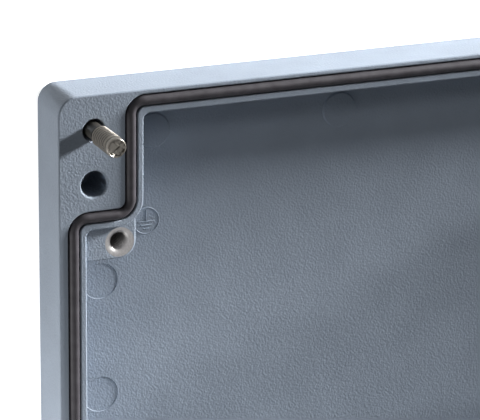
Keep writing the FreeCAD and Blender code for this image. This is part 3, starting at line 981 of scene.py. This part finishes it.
class BOX_OT_earth_sign(bpy.types.Operator):
    """Cast the raised earth sign on the lid's floor beside the earth point"""

    bl_idname = "diecast.earth_sign"
    bl_label = "Earth Sign"

    def execute(self, context):
        sizes = context.scene.box_sizes
        half_line = sizes.sign_line / 2
        radius = sizes.sign_radius
        centre = Vector((lid_high.x - SIGN_INSET.x, lid_low.y + SIGN_INSET.y, LID_FLOOR))
        deselect_all()
        bpy.ops.mesh.primitive_torus_add(
            major_segments=64, minor_segments=12, major_radius=radius, minor_radius=half_line,
            location=centre,
        )
        sign = bpy.context.object
        apply_place(sign)
        parts = [sign]
        for across, along, half_across, half_along in SIGN_BARS:
            place = centre + Vector((across, along, 0)) * radius
            bar = rounded_bar(place, half_across * radius, half_along * radius, half_line)
            parts.append(bar)
        edit_all(joined("earth_sign", parts))
        bpy.ops.transform.resize(
            value=(1, 1, SIGN_HEIGHT / half_line), center_override=tuple(centre)
        )
        bpy.ops.object.mode_set(mode="OBJECT")
        bpy.ops.object.shade_smooth_by_angle(angle=math.radians(50))
        set_material(sign, bpy.data.materials["powder_coat"])
        hand_over(sign, "box", "casting_paint")
        return {"FINISHED"}


def cord_section(half_width, height):
    """The cord's section: flat on the groove's floor, with a round crest."""
    shoulder = height - 1.5 * half_width
    lift = 0.6 * (height - shoulder)
    return section((
        ((-half_width, 0), (0, 0), (0, 0)),
        ((half_width, 0), (0, 0), (0, 0)),
        ((half_width, shoulder), (0, -0.3 * lift), (0, lift)),
        ((0, height), (0.6 * half_width, 0), (-0.6 * half_width, 0)),
        ((-half_width, shoulder), (0, lift), (0, -0.3 * lift)),
    ), resolution=8)


class BOX_OT_seal(bpy.types.Operator):
    """Lay the rubber seal in the lid's groove"""

    bl_idname = "diecast.seal"
    bl_label = "Seal"

    def execute(self, context):
        sizes = context.scene.box_sizes
        half_width = sizes.groove_width / 2 - sizes.seal_play
        bed = Vector((lid_centre.x, lid_centre.y, seal_low.z))
        line = stepped_curve("seal_cord", sizes, bed, pinch=sizes.seal_pinch)
        line.data.resolution_u = 10
        cord = swept(line, cord_section(half_width, seal_high.z - seal_low.z))
        make_active(cord)
        bpy.ops.object.shade_smooth_by_angle(angle=math.radians(60))
        set_material(cord, rubber(context.scene.box_finish))
        hand_over(cord, "box", "gasket_rubber", "lid_gasket")
        return {"FINISHED"}


def roughen_tip(screw, tip):
    """Break up the cropped hollow in the screw's end."""

    def in_hollow(centre, normal):
        return (centre - tip).to_2d().length < TIP_REACH and tip.z - centre.z < TIP_DEPTH

    select_faces(screw, in_hollow)
    bpy.ops.mesh.decimate(ratio=0.15)
    bpy.ops.transform.vertex_random(offset=TIP_ROUGHNESS, uniform=1, seed=4)
    bpy.ops.object.mode_set(mode="OBJECT")


def paint_crest_shade(screw, tip, sizes, material):
    """Paint shade on the thread's crests with a far darker metal, for the dark stripes between the
    threads.
    """

    def in_crest_shade(centre, normal):
        aside = (centre - tip).to_2d().length
        depth = tip.z - centre.z
        return aside > THREAD_RADIUS - OVERLAP and CREST_SHADE_START < depth < sizes.thread_length

    second_material(screw, material, in_crest_shade)


class BOX_OT_screws(bpy.types.Operator):
    """Cut the threads of the four captive screws"""

    bl_idname = "diecast.screws"
    bl_label = "Screws"

    def execute(self, context):
        finish = context.scene.box_finish
        sizes = context.scene.box_sizes
        steel = metal("stainless_steel", finish.steel_colour, 0.28, 0.38, metallic=0.8)
        low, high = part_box("lid_screw_1")
        middle = (low + high) / 2
        foot = Vector((middle.x, middle.y, low.z))
        first = turned("threaded_screw_1", [
            (0, 0), (4.2, 0), (4.62, 0.14), (4.88, 0.42), (5, 0.8), (5, 4.1), (4.9, 4.2),
            (2.42, 4.2), (2.42, 24.5), (3, 25), (3, 35.3), (2.45, 35.5), (2.45, 35.85),
            (2.9, 36.05), (2.95, 36.7), (2.88, 37.2), (2.74, 37.42), (2.6, 37.5), (2.46, 37.4),
            (2.3, 36.9), (1.5, 36.6), (0.8, 36.5), (0, 36.5),
        ])
        pitch = sizes.thread_pitch
        thread_foot = Vector((0, 0, high.z - low.z - sizes.thread_length + 0.3 * MM))
        turns = int((sizes.thread_length - 2 * MM) / pitch)
        outside = THREAD_RADIUS + 0.1 * MM
        inside = THREAD_RADIUS - sizes.thread_depth
        thread = helix("thread", thread_foot, outside, inside, 0.36 * pitch, pitch, turns)
        combine(first, thread, "DIFFERENCE")
        deselect_all()
        bpy.ops.mesh.primitive_cube_add(size=2 * MM, location=(0, 0, 0))
        slot = bpy.context.object
        slot.scale = SLOT_HALVES
        apply_place(slot)
        combine(first, slot, "DIFFERENCE")
        first.location = foot
        apply_place(first)
        tip = Vector((foot.x, foot.y, high.z))
        roughen_tip(first, tip)
        set_material(first, steel)
        # Painted shade: the crests take the steel's colour at 0.15 of its brightness, drawn as dark
        # stripes
        crest_shade = metal("thread_crest_shade", tinted(finish.steel_colour, 0.15), 0.35, 0.5)
        paint_crest_shade(first, tip, sizes, crest_shade)
        screws = [first]
        for number in SCREW_NUMBERS[1:]:
            make_active(first)
            bpy.ops.object.duplicate()
            screw = bpy.context.object
            screw.name = f"threaded_screw_{number}"
            screw.location = node_centre(f"lid_screw_{number}") - middle
            apply_place(screw)
            screws.append(screw)
        for number, screw in zip(SCREW_NUMBERS, screws):
            soften(screw, angle=30)
            hand_over(screw, f"screw_{number}", "stainless_steel", f"lid_screw_{number}")
        return {"FINISHED"}


class BOX_OT_rings(bpy.types.Operator):
    """Round off the split rings that keep the screws in the lid"""

    bl_idname = "diecast.rings"
    bl_label = "Rings"

    def execute(self, context):
        material = nylon(context.scene.box_finish)
        for number in SCREW_NUMBERS:
            ring = copy_of_node(f"screw_ring_{number}", f"split_ring_{number}")
            set_material(ring, material)
            soften(ring, angle=40)
            hand_over(ring, f"screw_slide_{number}", "ring_nylon", f"screw_ring_{number}")
        return {"FINISHED"}


def lay_floor(stage):
    """A pale floor that shines white for the camera, and for nothing that it would light."""
    deselect_all()
    bpy.ops.mesh.primitive_plane_add(size=6, location=(0, 0, 0))
    floor = bpy.context.object
    floor.name = "floor"
    material, tree, shader, place = new_material("floor_paper")
    haze = noise(tree, place, 0.3, detail=2)
    colour_between(tree, shader, haze, stage.floor_colour, 0.99, 1.0)
    shader.inputs["Roughness"].default_value = 0.9
    shader.inputs["Emission Color"].default_value = (1, 1, 1, 1)
    glow = between(tree, seen_plainly(tree), 0.0, FLOOR_GLOW)
    tree.links.new(glow, shader.inputs["Emission Strength"])
    set_material(floor, material)


def paint_room(scene, stage):
    """A pale room that fills the shadows a little, and is white where the camera sees it."""
    world = bpy.data.worlds.new("pale_room")
    scene.world = world
    world.use_nodes = True
    tree = world.node_tree
    background = tree.nodes["Background"]
    background.inputs["Color"].default_value = (0.97, 0.98, 1.0, 1)
    glow = between(tree, seen_plainly(tree), stage.fill_strength, 1.0)
    tree.links.new(glow, background.inputs["Strength"])


def hang_lamps(stage):
    for name, aim, azimuth, rise, distance, size, power, beam in LAMPS:
        around = math.radians(azimuth)
        up = math.radians(rise)
        way = Vector((
            math.cos(around) * math.cos(up), math.sin(around) * math.cos(up), math.sin(up)
        ))
        bpy.ops.object.light_add(type="AREA", location=aim + way * distance)
        lamp = bpy.context.object
        lamp.name = name
        lamp.rotation_mode = "QUATERNION"
        lamp.rotation_quaternion = (-way).to_track_quat("-Z", "Y")
        lamp.data.shape = "DISK"
        lamp.data.size = size
        lamp.data.energy = power * stage.lamp_power
        lamp.data.spread = math.radians(beam)


def set_camera(scene):
    bpy.ops.object.camera_add(location=CAMERA_EYE)
    camera = bpy.context.object
    camera.name = "camera"
    camera.rotation_mode = "QUATERNION"
    level = (LID_AIM - CAMERA_EYE).to_track_quat("-Z", "Y")
    camera.rotation_quaternion = level @ Quaternion((0, 0, 1), CAMERA_ROLL)
    camera.data.sensor_fit = "HORIZONTAL"
    camera.data.sensor_width = 36
    camera.data.lens = CAMERA_LENS
    camera.data.clip_start = 0.05
    camera.data.clip_end = 50
    scene.camera = camera


class BOX_OT_stage(bpy.types.Operator):
    """Set the floor, the lamps and the camera"""

    bl_idname = "diecast.stage"
    bl_label = "Stage"

    def execute(self, context):
        stage = context.scene.box_stage
        context.scene.view_settings.view_transform = "Standard"
        lay_floor(stage)
        paint_room(context.scene, stage)
        hang_lamps(stage)
        set_camera(context.scene)
        return {"FINISHED"}


class BOX_PT_panel(bpy.types.Panel):
    """The box's pieces in the order in which they are made"""

    bl_idname = "BOX_PT_panel"
    bl_label = "Die Cast Box"
    bl_space_type = "VIEW_3D"
    bl_region_type = "UI"
    bl_category = "Die Cast Box"

    def draw(self, context):
        layout = self.layout
        for group in (context.scene.box_sizes, context.scene.box_finish, context.scene.box_stage):
            column = layout.column(align=True)
            for name in group.__annotations__:
                column.prop(group, name)
        for operator in PIECES:
            layout.operator(operator.bl_idname)


GROUPS = {"box_sizes": BoxSizes, "box_finish": BoxFinish, "box_stage": BoxStage}
PIECES = (
    BOX_OT_lid, BOX_OT_base, BOX_OT_earth_sign, BOX_OT_seal, BOX_OT_screws, BOX_OT_rings,
    BOX_OT_stage,
)


def register():
    for group in GROUPS.values():
        bpy.utils.register_class(group)
    for operator in PIECES:
        bpy.utils.register_class(operator)
    bpy.utils.register_class(BOX_PT_panel)
    for name, group in GROUPS.items():
        setattr(bpy.types.Scene, name, PointerProperty(type=group))


def unregister():
    for name in GROUPS:
        delattr(bpy.types.Scene, name)
    bpy.utils.unregister_class(BOX_PT_panel)
    for operator in reversed(PIECES):
        bpy.utils.unregister_class(operator)
    for group in reversed(GROUPS.values()):
        bpy.utils.unregister_class(group)


def main():
    register()
    bpy.ops.diecast.lid()
    bpy.ops.diecast.base()
    bpy.ops.diecast.earth_sign()
    bpy.ops.diecast.seal()
    bpy.ops.diecast.screws()
    bpy.ops.diecast.rings()
    bpy.ops.diecast.stage()


if __name__ == "__main__":
    main()
